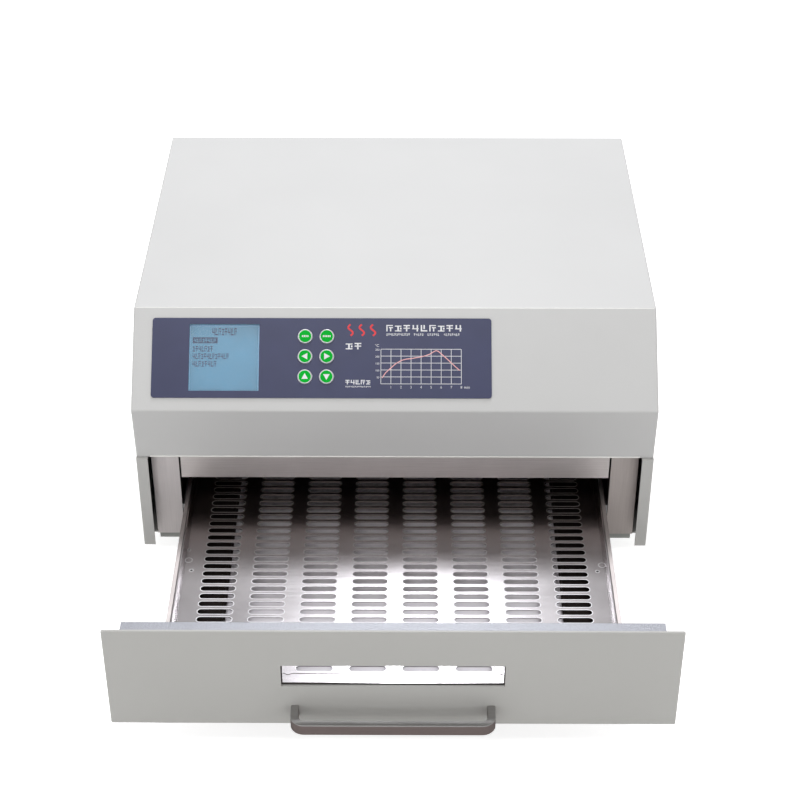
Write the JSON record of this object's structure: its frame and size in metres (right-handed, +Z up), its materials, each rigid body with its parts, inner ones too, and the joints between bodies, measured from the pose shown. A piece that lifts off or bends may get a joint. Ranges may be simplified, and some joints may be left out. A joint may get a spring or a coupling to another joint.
{
  "type": "reflow oven",
  "caption": "Bench-top infrared reflow oven: grey sheet-metal casing, sloping control panel with display and keys, and a slotted soldering drawer drawn out on runners.",
  "frame": {"origin": "on the bench, at the centre of the whole footprint with the drawer drawn out to its front stop", "axes": "+X to the right of someone facing the front, +Y to the back, +Z up"},
  "size_m": [0.4334, 0.6088, 0.2241],
  "materials": {
    "hood_paint": "satin powder coat, fine orange peel",
    "case_paint": "satin grey powder coat",
    "stainless": "brushed stainless",
    "reflector": "bright rolled reflector sheet",
    "zinc_steel": "zinc plated",
    "fastener": "plated",
    "handle_metal": "satin",
    "rubber": "matte",
    "black_plastic": "matte",
    "switch_red": "gloss",
    "blanket": "ceramic fibre",
    "quartz": "clear quartz",
    "filament": "dark resistance coil",
    "ceramic": "unglazed ceramic",
    "overlay": "printed polyester, semi gloss",
    "clear_window": "clear",
    "lcd": "lit blue display",
    "display_frame": "matte",
    "key_cap": "silver rim, green face",
    "board": "green laminate",
    "parts_mixed": "mixed electronic parts",
    "heatsink": "extruded",
    "core": "varnished laminations",
    "coil": "yellow wrapping tape"
  },
  "bodies": {
    "casing": {"base_pan": "case_paint", "board_components": "parts_mixed", "board_posts": "zinc_steel", "board_standoffs": "zinc_steel", "case_screws": "fastener", "chamber_header": "stainless", "chamber_roof": "reflector", "chamber_shell": "stainless", "control_overlay": "overlay", "display_glass": "lcd", "display_module": "display_frame", "display_window": "clear_window", "equipment_shelf": "zinc_steel", "exhaust_fan_frame": "black_plastic", "exhaust_fan_guard": "zinc_steel", "fan_screws": "fastener", "foot_fasteners": "fastener", "front_plate_left": "stainless", "front_plate_right": "stainless", "fuse_holder": "black_plastic", "heater_filaments": "filament", "heater_sockets": "ceramic", "heater_tubes": "quartz", "hood_cover": "hood_paint", "inlet_pins": "fastener", "insulation_blanket": "blanket", "key_switches": "black_plastic", "keypad_board": "board", "panel_brackets": "zinc_steel", "power_board": "board", "power_inlet": "black_plastic", "rear_panel": "case_paint", "rocker_bezel": "black_plastic", "rubber_feet": "rubber", "side_skirt_left": "case_paint", "side_skirt_right": "case_paint", "slide_rail_left": "zinc_steel", "slide_rail_right": "zinc_steel", "temperature_probe": "stainless", "transformer_coil": "coil", "transformer_core": "core", "triac_heatsink": "heatsink"},
    "drawer": {"drawer_runner_left": "zinc_steel", "drawer_runner_right": "zinc_steel", "drawer_pan": "stainless", "lower_reflector": "reflector", "drawer_cross_bar": "case_paint", "slotted_tray": "stainless", "drawer_front_box": "case_paint", "drawer_panel": "case_paint", "drawer_handle": "handle_metal", "handle_screws": "fastener"},
    "fan_rotor": {"exhaust_fan_rotor": "black_plastic"},
    "rocker": {"rocker_paddle": "switch_red"},
    "key_left_lower": {"key_left_lower": "key_cap"},
    "key_left_middle": {"key_left_middle": "key_cap"},
    "key_left_upper": {"key_left_upper": "key_cap"},
    "key_right_lower": {"key_right_lower": "key_cap"},
    "key_right_middle": {"key_right_middle": "key_cap"},
    "key_right_upper": {"key_right_upper": "key_cap"}
  },
  "joints": [
    {"name": "drawer_slide", "type": "slide", "parent": "casing", "child": "drawer", "axis": [0, -1, 0], "range_m": [-0.2135, 0]},
    {"name": "fan_spin", "type": "hinge", "parent": "casing", "child": "fan_rotor", "pos_m": [0.07, 0.285, 0.112], "axis": [0, 1, 0], "continuous": true},
    {"name": "rocker_tilt", "type": "hinge", "parent": "casing", "child": "rocker", "pos_m": [-0.105, 0.2977, 0.058], "axis": [1, 0, 0], "range_deg": [-22, 0]},
    {"name": "key_left_lower_press", "type": "slide", "parent": "casing", "child": "key_left_lower", "axis": [0, 0.7007, -0.7134], "range_m": [0, 0.0007], "stiffness_N_per_m": 600},
    {"name": "key_left_middle_press", "type": "slide", "parent": "casing", "child": "key_left_middle", "axis": [0, 0.7007, -0.7134], "range_m": [0, 0.0007], "stiffness_N_per_m": 600},
    {"name": "key_left_upper_press", "type": "slide", "parent": "casing", "child": "key_left_upper", "axis": [0, 0.7007, -0.7134], "range_m": [0, 0.0007], "stiffness_N_per_m": 600},
    {"name": "key_right_lower_press", "type": "slide", "parent": "casing", "child": "key_right_lower", "axis": [0, 0.7007, -0.7134], "range_m": [0, 0.0007], "stiffness_N_per_m": 600},
    {"name": "key_right_middle_press", "type": "slide", "parent": "casing", "child": "key_right_middle", "axis": [0, 0.7007, -0.7134], "range_m": [0, 0.0007], "stiffness_N_per_m": 600},
    {"name": "key_right_upper_press", "type": "slide", "parent": "casing", "child": "key_right_upper", "axis": [0, 0.7007, -0.7134], "range_m": [0, 0.0007], "stiffness_N_per_m": 600}
  ]
}
